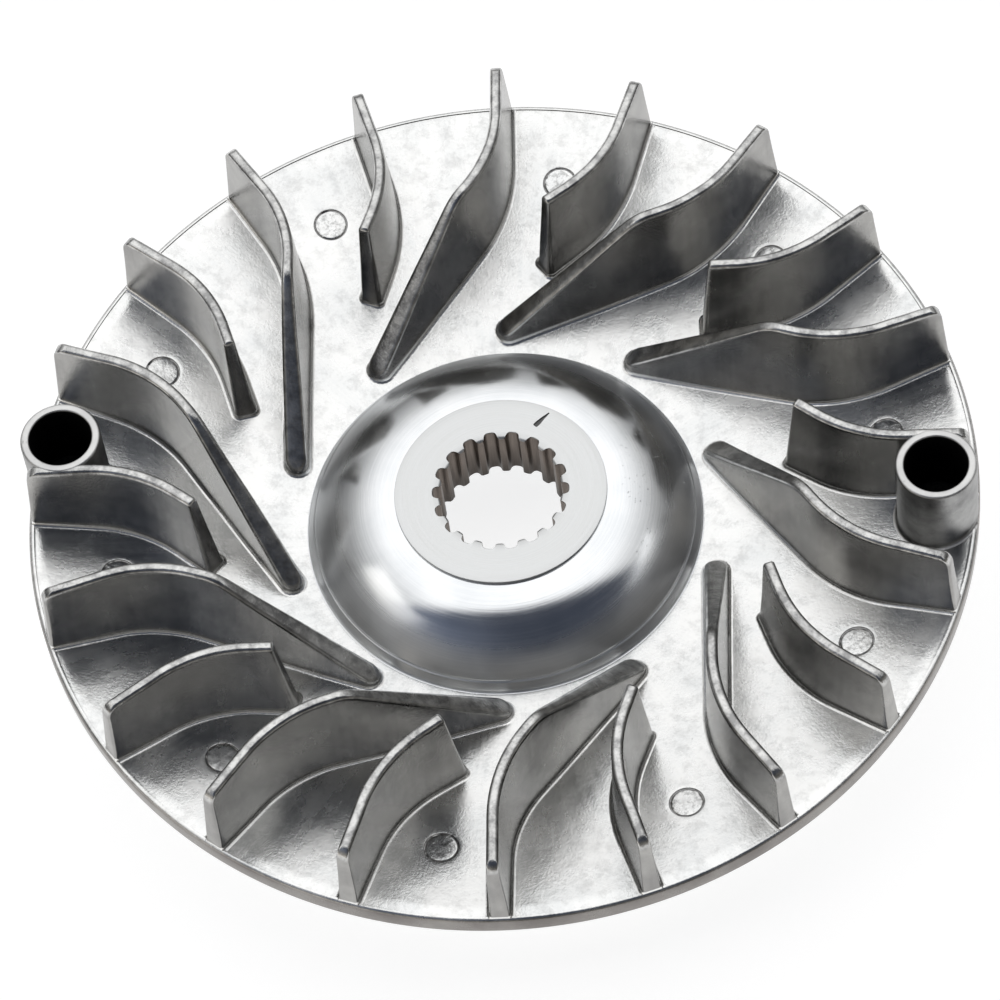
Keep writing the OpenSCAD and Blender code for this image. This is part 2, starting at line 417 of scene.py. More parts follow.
def cast_skin(n, tone, rough):
    """Finishes a die-cast skin of that tone with fine grain, small pits and a soft unevenness."""
    pits = n.noise(1.3, detail=4, roughness=0.7)
    speck = n.ramp(pits, [(0.24, 0.8), (0.32, 1.0)])
    colour = n.mix(1.0, tone, speck, "MULTIPLY")
    normal = n.bump(n.noise(0.35, detail=3, roughness=0.6), 0.04, 0.6)
    normal = n.bump(n.ramp(pits, [(0.22, 0.0), (0.32, 1.0)]), 0.03, 0.5, normal)
    normal = n.bump(n.noise(4, detail=3), 0.12, 0.4, normal)
    return n.finish(colour, rough, normal)


def web_aluminium(name):
    """The bright web: flow streaks out from the hub, clouds, stained marks, painted shade in the
    marks' moats, and a rim wall darkened with painted shade.
    """
    n = Skin(name)
    clouds = n.noise(9, detail=5, roughness=0.6)
    streaks = n.noise(1, detail=4, place=n.polar(), stretch=(0.06, 0.25, 1.4))
    both = n.mix(0.2, clouds, streaks)
    tone = n.ramp(both, [(0.36, (0.68, 0.69, 0.69)), (0.6, (0.85, 0.85, 0.84))])
    mottle = n.noise(2.2, detail=5, roughness=0.75)
    tone = n.mix(1.0, tone, n.ramp(mottle, [(0.34, 0.82), (0.52, 1.0)]), "MULTIPLY")
    shaded_moat, pad = mark_masks(n)
    stain = n.ramp(n.noise(0.8, detail=4, roughness=0.7), [(0.38, 0.62), (0.52, 1.0)])
    tone = n.mix(pad, tone, n.mix(1.0, tone, stain, "MULTIPLY"))
    # painted shade: the narrow moats of the ejector marks are painted dark grey
    tone = n.mix(shaded_moat, tone, (0.3, 0.3, 0.3))
    # painted shade: steep faces, such as the rim's outer wall, take a darker copy of the cast tone
    shaded_wall = n.ramp(clouds, [(0.35, (0.19, 0.176, 0.166)), (0.65, (0.31, 0.295, 0.28))])
    tone = n.mix(n.upward(0.55, 0.85), shaded_wall, tone)
    rough = n.ramp(both, [(0.36, 0.2), (0.64, 0.32)])
    return cast_skin(n, tone, rough)


def mark_masks(n):
    """Masks for the moats of the ejector marks, which are painted dark as painted shade, and for
    the pads inside them.
    """
    x, y, _ = n.xyz()
    angle = n.math("ARCTAN2", y, x)
    steps = n.math("DIVIDE", n.math("SUBTRACT", angle, mark_angle), pitch)
    off = n.math("MULTIPLY", n.math("SUBTRACT", steps, n.math("ROUND", steps)), pitch)
    across = n.math("MULTIPLY", off, mark_centre_r)
    out = n.math("SUBTRACT", n.math("DIVIDE", n.radius(), MM), mark_centre_r)
    square = n.math("ADD", n.math("POWER", across, 2), n.math("POWER", out, 2))
    edge = 0.5                              # where a mark's edge falls on the ramps
    reach = n.math("DIVIDE", n.math("SQRT", square), MARK_R / edge)
    shaded_moat = n.ramp(reach, [
        (edge - 0.07, 0.0), (edge - 0.04, 1.0), (edge - 0.015, 1.0), (edge + 0.01, 0.0),
    ])
    return shaded_moat, n.ramp(reach, [(edge - 0.09, 1.0), (edge - 0.05, 0.0)])


def blade_aluminium(name):
    """Side walls with drag streaks, darkened with painted shade, between mottled crests lightened
    with painted light, and a painted highlight along the foot.
    """
    n = Skin(name)
    clouds = n.noise(7, detail=5, roughness=0.6)
    drag = n.noise(1, detail=4, place=n.polar(), stretch=(0.9, 0.08, 1.2))
    both = n.mix(0.22, clouds, drag)
    # painted shade: the steep walls take a darker copy of the cast tone
    shaded_wall = n.ramp(both, [
        (0.36, (0.265, 0.26, 0.255)), (0.5, (0.335, 0.33, 0.32)), (0.64, (0.42, 0.415, 0.4)),
    ])
    mottle = n.noise(1.8, detail=5, roughness=0.65)
    # painted light: the crests, which face up, take a lighter mottled tone
    crest = n.ramp(mottle, [(0.36, (0.3, 0.3, 0.3)), (0.6, (0.62, 0.62, 0.61))])
    rough = n.ramp(both, [(0.36, 0.18), (0.64, 0.28)])
    tone = n.mix(n.upward(0.15, 0.5), shaded_wall, crest)
    # painted highlight: a bright line along the foot, in the fillet just above the web
    foot = n.ramp(n.above_web(), [(0.04, 0.6), (0.12, 1.0), (0.36, 1.0), (0.52, 0.0)])
    return cast_skin(n, n.mix(foot, tone, (0.86, 0.86, 0.85)), rough)


def boss_aluminium(name):
    """The cast skin, with its mouth lightened and its walls darkened by painted light and shade,
    and a socket painted nearly black as painted shade.
    """
    n = Skin(name)
    x, y, _ = n.xyz()
    across = n.math("SUBTRACT", n.math("ABSOLUTE", x), socket_x * MM)
    square = n.math("ADD", n.math("POWER", across, 2), n.math("POWER", y, 2))
    span = 10                               # the radii below are shares of this one
    reach = n.math("DIVIDE", n.math("SQRT", square), span * MM)
    # painted shade: inside the socket's radius the colour is nearly black
    shaded_socket = n.ramp(reach, [((socket_r + 0.02) / span, 1.0), ((socket_r + 0.1) / span, 0.0)])
    clouds = n.noise(5, detail=5, roughness=0.6)
    grain = n.noise(0.35, detail=2)
    pits = n.noise(1.1, detail=4, roughness=0.7)
    # painted shade and light: steep walls take a darker tone, the up-facing lip a lighter one
    shaded_wall = n.ramp(clouds, [(0.34, (0.2, 0.2, 0.2)), (0.66, (0.46, 0.46, 0.455))])
    lit_lip = n.ramp(clouds, [(0.34, (0.5, 0.5, 0.5)), (0.66, (0.74, 0.74, 0.73))])
    skin = n.mix(n.upward(0.5, 0.9), shaded_wall, lit_lip)
    colour = n.mix(shaded_socket, skin, n.ramp(grain, [(0.3, 0.012), (0.7, 0.03)]))
    rough = n.mix(shaded_socket, n.ramp(clouds, [(0.35, 0.3), (0.65, 0.46)]), 0.6)
    normal = n.bump(grain, 0.03, 0.5)
    normal = n.bump(n.ramp(pits, [(0.25, 0.0), (0.36, 1.0)]), 0.08, 0.7, normal)
    return n.finish(colour, rough, normal)


def turned_aluminium(name):
    """Turned and polished, duller towards the foot, with fine rings and a few pits on the right."""
    n = Skin(name)
    rings = n.noise(1, detail=5, roughness=0.65, place=n.polar(), stretch=(6, 6, 0.01))
    clouds = n.noise(6, detail=4)
    pits = n.noise(0.55, detail=3, roughness=0.7)
    across = n.math("DIVIDE", n.towards((0.975, 0.223, 0)), dome_r * MM)
    tint = (0.3, (0.66, 0.68, 0.7)), (0.7, (0.84, 0.85, 0.86))
    colour = n.ramp(n.mix(0.4, clouds, rings), tint)
    reach = n.math("DIVIDE", n.radius(), dome_r * MM)
    dull = n.ramp(reach, [(0.76, 0.0), (0.9, 1.0)])
    texture = n.mix(0.5, clouds, rings)
    polished = n.ramp(texture, [(0.3, 0.1), (0.7, 0.19)])
    rough = n.mix(dull, polished, n.ramp(texture, [(0.3, 0.33), (0.7, 0.43)]))
    normal = n.bump(rings, 0.02, 0.35)
    worn = n.ramp(across, [(0.58, 0.0), (0.66, 1.0)])
    dots = n.math("MULTIPLY", n.ramp(pits, [(0.28, 1.0), (0.34, 0.0)]), worn)
    normal = n.bump(n.math("SUBTRACT", 1.0, dots), 0.05, 0.8, normal)
    return n.finish(colour, rough, normal)


def splined_steel(name):
    """Faced steel on the seat with a dark stamped mark, and browner steel inside the bore, darkened
    towards its bottom with painted shade.
    """
    n = Skin(name)
    rings = n.noise(1, detail=4, place=n.polar(), stretch=(5, 0.4, 0.02))
    drag = n.noise(1, detail=3, place=n.polar(), stretch=(0.5, 0.3, 9))
    seat = n.ramp(rings, [(0.3, (0.64, 0.65, 0.655)), (0.7, (0.75, 0.76, 0.755))])
    bore = n.ramp(drag, [(0.3, (0.1, 0.08, 0.068)), (0.7, (0.27, 0.23, 0.2))])
    rise = n.math("SUBTRACT", n.xyz()[2], floor_z * MM)
    height = n.math("DIVIDE", rise, (seat_z - floor_z) * MM)
    # painted shade: the bore darkens towards its bottom
    bore = n.mix(1.0, bore, n.ramp(height, [(0.1, 0.35), (0.7, 1.0)]), "MULTIPLY")
    span = 20                               # the radii below are shares of this one
    reach = n.math("DIVIDE", n.radius(), span * MM)
    within = n.ramp(reach, [(9.4 / span, 1.0), (9.6 / span, 0.0)])
    inside = n.math("MULTIPLY", within, n.math("SUBTRACT", 1.0, n.upward(0.35, 0.7)))
    colour = n.mix(inside, seat, bore)
    sunk = n.ramp(height, [(0.982, 1.0), (0.992, 0.0)])
    on_seat = n.ramp(reach, [
        (9.8 / span, 0.0), (10 / span, 1.0), (13.6 / span, 1.0), (13.8 / span, 0.0),
    ])
    colour = n.mix(n.math("MULTIPLY", sunk, on_seat), colour, (0.1, 0.1, 0.1))
    rough = n.ramp(n.mix(inside, rings, drag), [(0.3, 0.34), (0.7, 0.5)])
    return n.finish(colour, rough, n.bump(rings, 0.015, 0.4))


web_skin = web_aluminium("cast_web_skin")
blade_skin = blade_aluminium("cast_blade_skin")
boss_skin = boss_aluminium("cast_boss_skin")
dome_skin = turned_aluminium("turned_dome_skin")
sleeve_skin = splined_steel("splined_steel_skin")


def settle(piece, material, node):
    """Gives a finished piece its material and its body, and hides the CAD node that it stands for.
    """
    piece.data.materials.append(material)
    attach(piece, "root")
    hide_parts(node)


# ---- the web, with its ejector marks ----

WEB_STEPS = 720                             # flats round the web
WEB_CELL = 0.44                             # length of a cell across the band of marks
MARK_CELLS = 16                             # a mark's patch is this many cells each way
BELT_RINGS = (32, 38, 44, 50, 56)           # radii of plain rings, which keep the cells short
OUTER_RINGS = (60, 58)
INNER_RINGS = (45, 41, 37, 33, 29)
RIM_STEPS = 6
MARK_LUMPS = 1.7                            # waves in a millimetre of a mark's floor
MARK_RINGS = (                              # a mark's narrow moat and shallow floor: radius, depth
    (MARK_R + 0.55, 0), (MARK_R + 0.1, 0), (MARK_R, 0.02), (MARK_R - 0.07, 0.15),
    (MARK_R - 0.2, 0.17), (MARK_R - 0.3, 0.07), (MARK_R - 0.5, 0.05), (1.2, 0.06),
    (0.5, 0.05),
)


def web_profile():
    """The disc's section, and the place in it where the band of marks starts."""
    profile = [(r, belt_z(r)) for r in (dome_r, *BELT_RINGS)]
    shares = [k / RIM_STEPS for k in range(RIM_STEPS + 1)]
    for middle_z, angles in (
        (belt_z(outer_r) + RIM_ROUND, [(-math.pi / 2 + BELT_SLOPE) * (1 - k) for k in shares]),
        (rim_top - RIM_ROUND, [(math.pi / 2 + FAN_SLOPE) * k for k in shares]),
    ):
        for a in angles:
            r = outer_r - RIM_ROUND + RIM_ROUND * math.cos(a)
            profile.append((r, middle_z + RIM_ROUND * math.sin(a)))
    for back, drop in RIM_STEP:
        profile.append((outer_r - back, web_z(outer_r - back) - drop))
    profile += [(r, web_z(r)) for r in OUTER_RINGS]
    first = len(profile)
    band_r = mark_centre_r + WEB_CELL * MARK_CELLS / 2
    band = [band_r - k * WEB_CELL for k in range(MARK_CELLS + 1)]
    profile += [(r, web_z(r)) for r in (*band, *INNER_RINGS, dome_r)]
    return profile, first


def web_disc():
    profile, first = web_profile()
    points, faces = loft(revolved(profile, ring_angles(WEB_STEPS, mark_angle)), closed=True)
    spacing = WEB_STEPS // BLADE_PAIRS
    half = MARK_CELLS // 2
    holes = set()
    for m in range(BLADE_PAIRS):
        for i in range(-half, half):
            for j in range(MARK_CELLS):
                holes.add((first + j) * WEB_STEPS + (m * spacing + i) % WEB_STEPS)
    faces = [f for k, f in enumerate(faces) if k not in holes]
    for m in range(BLADE_PAIRS):
        add_mark(points, faces, first, m * spacing, mark_angle + m * pitch)
    return make_piece("web_casting", points, faces)


def add_mark(points, faces, first, middle, angle):
    """Fills the square hole in the web's grid with an ejector mark."""
    half = MARK_CELLS // 2
    corner = [(-half, 0), (half, 0), (half, MARK_CELLS), (-half, MARK_CELLS)]
    border = []
    for k in range(4):
        (i0, j0), (i1, j1) = corner[k], corner[(k + 1) % 4]
        for step in range(MARK_CELLS):
            i = i0 + (i1 - i0) * step // MARK_CELLS
            j = j0 + (j1 - j0) * step // MARK_CELLS
            border.append((first + j) * WEB_STEPS + (middle + i) % WEB_STEPS)
    centre = Vector((mark_centre_r * math.cos(angle), mark_centre_r * math.sin(angle)))
    turns = [math.atan2(points[v][1] - centre.y, points[v][0] - centre.x) for v in border]
    previous = border
    n = len(border)
    for radius, depth in MARK_RINGS:
        ring = []
        for t in turns:
            x = centre.x + radius * math.cos(t)
            y = centre.y + radius * math.sin(t)
            lumps = noise.noise(Vector((x, y, 0)) * MARK_LUMPS) * depth * 0.5
            points.append((x, y, web_z(math.hypot(x, y)) - depth - lumps))
            ring.append(len(points) - 1)
        for k in range(n):
            after = (k + 1) % n
            faces.append((previous[k], previous[after], ring[after], ring[k]))
        previous = ring
    points.append((centre.x, centre.y, web_z(mark_centre_r) - MARK_RINGS[-1][1]))
    tip = len(points) - 1
    faces += [(previous[k], previous[(k + 1) % n], tip) for k in range(n)]


settle(web_disc(), web_skin, "belt_disc")

# ---- the hub dome ----

DOME_STEPS = 288                            # flats round the dome
DOME_CELLS = 48                             # steps down it, were they all alike
FINE_FROM = 40                              # from this one on, each is split in FINE_SPLIT
FINE_SPLIT = 8
DOME_END = 0.3                              # the dome stops this far in from its foot
dome_foot_z = web_z(dome_r)


def dome_arc():
    """The dome's surface, from the sleeve's shoulder down to the web."""
    turn = DOME_FOOT_SLOPE - DOME_TOP_SLOPE
    run, fall = dome_r - sleeve_r, shoulder_z - dome_foot_z
    radius = math.hypot(run, fall) / (2 * math.sin(turn / 2))
    start = math.atan2(fall, run) - turn / 2
    centre = Vector((sleeve_r - radius * math.sin(start), shoulder_z - radius * math.cos(start)))
    shares = [k / DOME_CELLS for k in range(FINE_FROM)]
    fine = (DOME_CELLS - FINE_FROM) * FINE_SPLIT
    shares += [(FINE_FROM + k / FINE_SPLIT) / DOME_CELLS for k in range(fine + 1)]
    arc = []
    for share in shares:
        a = start + turn * share
        out = Vector((math.sin(a), math.cos(a)))
        point = centre + out * radius
        off = abs(point.x - (dome_r - LEDGE_W)) / LEDGE_GROOVE
        arc.append(point - out * LEDGE_GROOVE * 0.5 * (1 - smooth(off)))
    return arc


def hub():
    groove = [(dome_r - back, dome_foot_z + rise) for back, rise in FOOT_GROOVE]
    arc = [p for p in dome_arc() if p.x < dome_r - DOME_END]
    under = rounded([
        (dome_r, belt_z(dome_r), 0), (belt_r, 0, 0.3), (recess_mouth_r, 0, 0.4),
        (RECESS_R, floor_z, 0.6), (sleeve_r, floor_z, 0),
        (sleeve_r, lock_z, 0), (sleeve_r - LOCK_DEPTH, lock_z, 0),
        (sleeve_r - LOCK_DEPTH, lock_z + LOCK_H, 0), (sleeve_r, lock_z + LOCK_H, 0),
    ])
    profile = [*arc, *groove, *under]
    points, faces = loft(revolved(profile, ring_angles(DOME_STEPS)), closed=True)
    return make_piece("hub_turned", points, faces)


settle(hub(), dome_skin, "hub_dome")

# ---- the splined sleeve ----

SEAT_RINGS = (9.6, 11, 12.5)                # radii of plain rings, which keep the cells short


def spline_outline():
    """The bore's outline: round-bottomed grooves between narrow splines."""
    corners = []
    half_mouth = math.asin(GROOVE_MOUTH_W / 2 / spline_tip_r)
    half_root = math.asin(GROOVE_ROOT_W / 2 / SPLINE_ROOT_R)
    for k in range(SPLINES):
        middle = SPLINE_PHASE + 2 * math.pi * k / SPLINES
        for r, turn, radius in (
            (spline_tip_r, -half_mouth, SPLINE_ROUND), (SPLINE_ROOT_R, -half_root, GROOVE_ROUND),
            (SPLINE_ROOT_R, half_root, GROOVE_ROUND), (spline_tip_r, half_mouth, SPLINE_ROUND),
        ):
            a = middle + turn
            corners.append((r * math.cos(a), r * math.sin(a), radius))
    return rounded(corners, steps=4)


def sleeve():
    outline = [(p.length, math.atan2(p.y, p.x)) for p in spline_outline()]
    c, e = BORE_CHAMFER, TIP_EDGE
    loops = []
    for z, opened, grown in (
        (floor_z, c, e), (floor_z + e, c - e, 0), (floor_z + c, 0, 0),
        (seat_z - c, 0, 0), (seat_z - e, c - e, 0), (seat_z, c, e),
    ):
        ring = [(max(r, spline_tip_r + opened) + grown, a) for r, a in outline]
        loops.append([(r * math.cos(a), r * math.sin(a), z) for r, a in ring])
    e = SEAT_EDGE
    outside = [
        *[(r, seat_z) for r in SEAT_RINGS], (sleeve_r - e * 1.5, seat_z),
        (sleeve_r - e * 0.3, seat_z - e * 0.3), (sleeve_r, seat_z - e * 1.5),
        (sleeve_r, lock_z + LOCK_H), (sleeve_r - LOCK_DEPTH, lock_z + LOCK_H),
        (sleeve_r - LOCK_DEPTH, lock_z), (sleeve_r, lock_z), (sleeve_r, floor_z),
        (SEAT_RINGS[1], floor_z),
    ]
    for r, z in outside:
        loops.append([(r * math.cos(a), r * math.sin(a), z) for _, a in outline])
    points, faces = loft(loops, closed=True)
    piece = make_piece("sleeve_steel", points, faces)
    cut(piece, index_cutter())
    return piece


def index_cutter():
    """The index mark's shape: a stroke that tapers from its broad end."""
    w = INDEX_W / 2
    plan = rounded([
        (-w, -w, 0.2), (w, -w, 0.2), (INDEX_L, -w / 4, 0.06), (INDEX_L, w / 4, 0.06),
        (w, w, 0.2), (-w, w, 0.2),
    ])
    ca, sa = math.cos(INDEX_HEADING), math.sin(INDEX_HEADING)
    x0, y0 = INDEX_R * math.cos(INDEX_ANGLE), INDEX_R * math.sin(INDEX_ANGLE)
    loops = []
    for z, shrink in ((seat_z - INDEX_DEPTH, 0.7), (seat_z + INDEX_DEPTH, 1.3)):
        flat = [(p.x, p.y * shrink) for p in plan]
        loops.append([(x0 + x * ca - y * sa, y0 + x * sa + y * ca, z) for x, y in flat])
    points, faces = loft(loops)
    n = len(plan)
    faces += [tuple(range(n)), tuple(range(n, 2 * n))]
    return make_piece("index_cutter", points, faces)


def cut(piece, cutter):
    """Takes the cutter's volume out of the piece, and removes the cutter."""
    step = piece.modifiers.new("cut", "BOOLEAN")
    step.operation = "DIFFERENCE"
    step.solver = "EXACT"
    step.object = cutter
    bpy.context.view_layer.update()
    graph = bpy.context.evaluated_depsgraph_get()
    mesh = bpy.data.meshes.new_from_object(piece.evaluated_get(graph))
    piece.modifiers.clear()
    piece.data = mesh
    bpy.data.objects.remove(cutter)
    shade(mesh)


settle(sleeve(), sleeve_skin, "spline_sleeve")

# ---- fan blades ----

BLADE_STATIONS = 46                         # points along each side
END_STEPS = 5                               # points round each end corner
BOSS_STEPS = 96                             # flats round a boss
END_ROUND = 0.42                            # the upright corners of the outer end
OUTER_STATION = 0.5                         # the section here sets the outer end's width
SIDE_SHARES = (                             # levels up a wall, closer at its foot and its crest
    0.03, 0.06, 0.09, 0.12, 0.145, 0.17, 0.22, 0.3, 0.4, 0.5, 0.6, 0.7, 0.78, 0.84,
    0.88, 0.905, 0.93, 0.95, 0.97, 0.985,
)

bend_y = outer_r - BEND_INSET
tip_r = dome_r + TIP_GAP
tip = Vector((-tip_r * math.sin(TIP_SWEEP), tip_r * math.cos(TIP_SWEEP)))
bend = math.atan2(-tip.x, bend_y - tip.y)
bend_tangent = BEND_R * math.tan(bend / 2)
tip_run = math.hypot(tip.x, bend_y - tip.y)
arc_start = outer_r - bend_y - bend_tangent   # distances along the line, in from the rim
arc_end = arc_start + BEND_R * bend


def along(tail):
    """Distance along the line of a point that lies that far past the bend's vertex."""
    return arc_end + tail - bend_tangent


def line_at(s):
    """Place and heading of the blade's centre line at distance s in from the rim."""
    if s < arc_start:
        return 0, outer_r - s, 0
    turn = min(bend, (s - arc_start) / BEND_R)
    x = BEND_R * (math.cos(turn) - 1)
    y = outer_r - arc_start - BEND_R * math.sin(turn)
    rest = max(0, s - arc_end)
    return x - rest * math.sin(turn), y - rest * math.cos(turn), turn


def beside(s, t):
    """The point at distance t beside the line."""
    x, y, turn = line_at(s)
    return x + t * math.cos(turn), y - t * math.sin(turn)


def half_t(z, top):
    return BLADE_T / 2 + (top - z) * BLADE_DRAFT


def levels():
    """A blade's section from under its foot to its crest, as (kind, share) pairs."""
    arc = [k / 6 for k in range(7)]
    kinds = ("foot", arc), ("side", SIDE_SHARES), ("edge", arc)
    return [("sunk", 0)] + [(kind, share) for kind, shares in kinds for share in shares]


class Blade:
    """A blade's shape, in its own plan: its line starts at the rim on +Y and runs inwards."""

    def __init__(self, top, seed):
        self.top = top
        self.seed = seed

    def crest(self, s):
        lumps = noise.noise(Vector((s * 0.35, self.seed * 7.3, 0)))
        lumps += 0.6 * noise.noise(Vector((s * 1.3, self.seed * 3.1, 5)))
        return self.ridge(s) - CAST_RIPPLE * (1 + lumps)

    def foot_z(self, s):
        x, y, _ = line_at(s)
        return web_z(math.hypot(x, y))

    def outer_s(self, z):
        """Where the outer end stands at height z: it leans in towards its top."""
        share = (z - rim_top) / (self.top - rim_top)
        return lerp(FOOT_INSET, TOP_INSET, share) + self.corner(z, CORNER_ROUND)

    def corner(self, z, radius):
        """How far an end corner of that radius draws back at height z."""
        over = max(0, z - (self.top - radius))
        return radius - math.sqrt(max(0, radius ** 2 - over ** 2))

    def section(self, s, kind, share):
        """Height and half width of the section at s, on the given level."""
        foot, crest = self.foot_z(s), self.crest(s)
        height = crest - foot
        fillet = min(FOOT_FILLET, height * 0.4)
        edge = min(EDGE_ROUND, height * 0.3)
        low, high = foot + fillet, crest - edge
        if kind == "sunk":
            return foot - SUNK, half_t(low, self.top) + fillet + SUNK, fillet
        if kind == "foot":
            a = share * math.pi / 2
            z = foot + fillet * (1 - math.cos(a))
            flare = fillet * (1 - math.sin(a))
            return z, half_t(z, self.top) + flare, flare
        if kind == "side":
            z = lerp(low, high, share)
            return z, half_t(z, self.top), 0
        a = share * math.pi / 2
        z = high + edge * math.sin(a)
        return z, half_t(high, self.top) - edge * (1 - math.cos(a)), 0

    def loop(self, kind, share):
        """One closed loop round the blade, a mirror image of itself about the line."""
        z_out, w_out, _ = self.section(OUTER_STATION, kind, share)
        s_out = self.outer_s(max(z_out, rim_top))
        s_in, corner_in = self.inner_end(kind, share)
        r_out = END_ROUND * min(1, w_out)
        side = []
        for k in range(END_STEPS):
            a = (k + 0.5) / END_STEPS * math.pi / 2
            s = s_out + r_out - r_out * math.cos(a)
            side.append((s, w_out - r_out + r_out * math.sin(a)))
        from_s, to_s = s_out + r_out, s_in - corner_in
        for k in range(BLADE_STATIONS + 1):
            s = lerp(from_s, to_s, k / BLADE_STATIONS)
            side.append((s, self.section(s, kind, share)[1]))
        w_in = side[-1][1]
        for k in range(END_STEPS):
            a = (k + 0.5) / END_STEPS * math.pi / 2
            s = to_s + corner_in * math.sin(a)
            side.append((s, w_in - corner_in + corner_in * math.cos(a)))
        both = side + [(s, -t) for s, t in reversed(side)]
        return [self.point(s, t, kind, share) for s, t in both]

    def point(self, s, t, kind, share):
        """A point of the mesh, on the web at its foot and slightly uneven, as a casting is."""
        x, y = beside(s, t)
        z = self.section(s, kind, share)[0]
        if kind in ("sunk", "foot"):
            z += web_z(math.hypot(x, y)) - self.foot_z(s)
        if kind == "side":
            z += (web_z(math.hypot(x, y)) - self.foot_z(s)) * (1 - share)
        place = x * SWELL_SIZE, y * SWELL_SIZE, z * SWELL_SIZE + self.seed * 5
        x, y = beside(s, t + CAST_SWELL * noise.noise(Vector(place)))
        return *held_in(x, y, outer_r - FOOT_INSET * 0.5), z

    def mesh(self, name, angle):
        loops = [self.loop(*level) for level in levels()]
        points, faces = loft(loops)
        n = len(loops[0])
        faces += strip_cap(0, n) + strip_cap(len(points) - n, n)
        ca, sa = math.cos(angle - math.pi / 2), math.sin(angle - math.pi / 2)
        turned = [(x * ca - y * sa, x * sa + y * ca, z) for x, y, z in points]
        return make_piece(name, turned, faces)


class LongBlade(Blade):
    """Its top runs down a straight ridge to a round nose by the dome."""

    nose_s = along(tip_run)

    def ridge(self, s):
        slope = web_z(tip_r) + TIP_H + (self.nose_s - s) * RIDGE_SLOPE
        gap = max(0, RIDGE_BLEND - abs(self.top - slope)) / RIDGE_BLEND
        return min(self.top, slope) - gap * gap * RIDGE_BLEND / 4

    def inner_end(self, kind, share):
        centre = self.nose_s - half_t(web_z(tip_r), self.top)
        w = self.section(centre, kind, share)[1]
        return centre + w, w


class ShortBlade(Blade):
    """It ends in a nearly upright edge with a small toe at its foot."""

    def ridge(self, s):
        return self.top

    def inner_end(self, kind, share):
        s = along(SHORT_TAIL)
        z, w, flare = self.section(s, kind, share)
        foot = self.foot_z(s)
        toe_z = foot + TOE_H
        edge = s - TOE_OUT - (z - toe_z) * INNER_LEAN
        low = smooth((foot + TOE_ROUND - z) / TOE_ROUND)
        edge += TOE_REACH * low + flare * TOE_FLARE - self.corner(z, INNER_ROUND)
        return edge, (w - flare) / 2 + flare * TOE_FLARE


def cut_by_boss(piece):
    """Ends a blade inside the wall of the boss that it runs into."""
    core_r = lerp(socket_r, boss_r, 0.5)
    side = 1 if piece.data.vertices[0].co.x > 0 else -1
    loops = [
        [(side * socket_x + x, y, z) for x, y, z in loop]
        for loop in revolved([(core_r, 0), (core_r, long_top + 5)], ring_angles(BOSS_STEPS))
    ]
    points, faces = loft(loops)
    faces += [tuple(range(BOSS_STEPS)), tuple(range(BOSS_STEPS, 2 * BOSS_STEPS))]
    cut(piece, make_piece("boss_core", points, faces))


for i in range(BLADE_PAIRS):
    turn = i * pitch
    piece = LongBlade(long_top, i).mesh(f"long_blade_{i + 1}_cast", long_angle + turn)
    settle(piece, blade_skin, f"long_blade_{i + 1}")
    piece = ShortBlade(short_top, i + 20).mesh(f"short_blade_{i + 1}_cast", short_angle + turn)
    if i in (0, BLADE_PAIRS // 2):
        cut_by_boss(piece)
    settle(piece, blade_skin, f"short_blade_{i + 1}")

# ---- holder bosses ----


def boss(name, side):
    """A blind tube that stands on the web, with a filleted foot and a rounded mouth."""
    foot = [(-BOSS_SUNK, boss_r + FOOT_FILLET)]
    for a in quarter(6):
        foot.append((FOOT_FILLET * (1 - math.cos(a)), boss_r + FOOT_FILLET * (1 - math.sin(a))))
    upper = []
    for a in quarter(5):
        z = boss_top - MOUTH_OUT * (1 - math.sin(a))
        upper.append((boss_r - MOUTH_OUT * (1 - math.cos(a)), z))
    for a in quarter(5):
        z = boss_top - MOUTH_IN * (1 - math.cos(a))
        upper.append((socket_r + MOUTH_IN * (1 - math.sin(a)), z))
    upper += [
        (socket_r, socket_floor + FLOOR_ROUND), (socket_r - 0.12, socket_floor + 0.1),
        (socket_r - FLOOR_ROUND, socket_floor), (socket_r / 2, socket_floor),
    ]
    angles = ring_angles(BOSS_STEPS)
    loops = []
    limit = outer_r - BOSS_INSET
    for height, r in foot:
        loop = [held_in(socket_x + r * math.cos(a), r * math.sin(a), limit) for a in angles]
        loops.append([(x, y, web_z(math.hypot(x, y)) + height) for x, y in loop])
    loops += [[(socket_x + x, y, z) for x, y, z in loop] for loop in revolved(upper, angles)]
    points, faces = loft(loops)
    points.append((socket_x, 0, socket_floor))
    last = (len(loops) - 1) * BOSS_STEPS
    middle = len(points) - 1
    faces += [(last + k, last + (k + 1) % BOSS_STEPS, middle) for k in range(BOSS_STEPS)]
    faces.append(tuple(range(BOSS_STEPS)))
    return make_piece(name, [(side * x, side * y, z) for x, y, z in points], faces)


for i, side in ((1, 1), (2, -1)):
    settle(boss(f"holder_boss_{i}_cast", side), boss_skin, f"holder_boss_{i}")

# ---- stage, light and camera ----

VIEW_TURN = math.radians(12.9)              # the camera stands this far round from -Y
VIEW_RISE = math.radians(58.33)
VIEW_ROLL = math.radians(-9.27)
VIEW_DISTANCE = 740.5
VIEW_ASIDE = (0.184, 0.55)                  # how far the camera's axis passes from the centre
LENS = 203.39
TABLE_GLOW = 0.78
ROOM_LIGHT = 1.35


